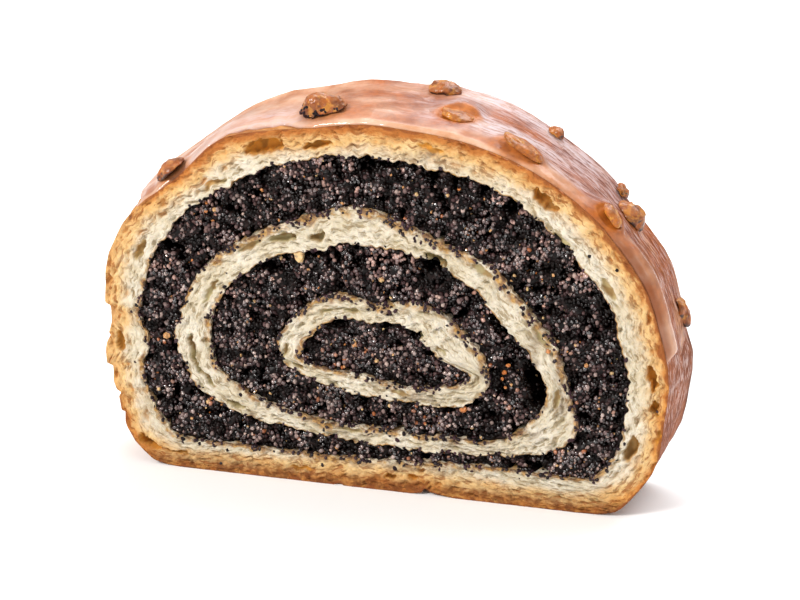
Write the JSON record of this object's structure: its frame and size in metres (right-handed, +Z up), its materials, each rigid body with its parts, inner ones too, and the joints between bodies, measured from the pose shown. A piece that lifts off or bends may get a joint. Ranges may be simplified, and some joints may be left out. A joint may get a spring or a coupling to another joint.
{
  "type": "poppy seed roll slice",
  "caption": "Thick upright slice of a rolled yeast loaf with dark poppy seed filling between turns of dough, iced top and walnut pieces.",
  "frame": {"origin": "on the ground under the middle of the slice's own box", "axes": "+Z up; +X across the slice, to the right when its pictured cut face is looked at; -Y out of that cut face"},
  "size_m": [0.1172, 0.0214, 0.0779],
  "materials": {
    "crust_dough": "baked yeast dough, pale crumb browning into a golden crust",
    "crumb": "pale open crumb with stretched pores",
    "poppy_filling": "moist grainy poppy seed paste, near black with a blue-grey glint",
    "icing": "glossy thin sugar icing over brown crust",
    "walnut": "toasted chopped walnut, partly glazed"
  },
  "bodies": {
    "root": {"dough_outer": "crust_dough", "dough_middle": "crumb", "dough_inner": "crumb", "filling_outer": "poppy_filling", "filling_middle": "poppy_filling", "filling_core": "poppy_filling", "icing": "icing", "walnut_1": "walnut", "walnut_2": "walnut", "walnut_3": "walnut", "walnut_4": "walnut", "walnut_5": "walnut", "walnut_6": "walnut", "walnut_7": "walnut"}
  },
  "joints": []
}
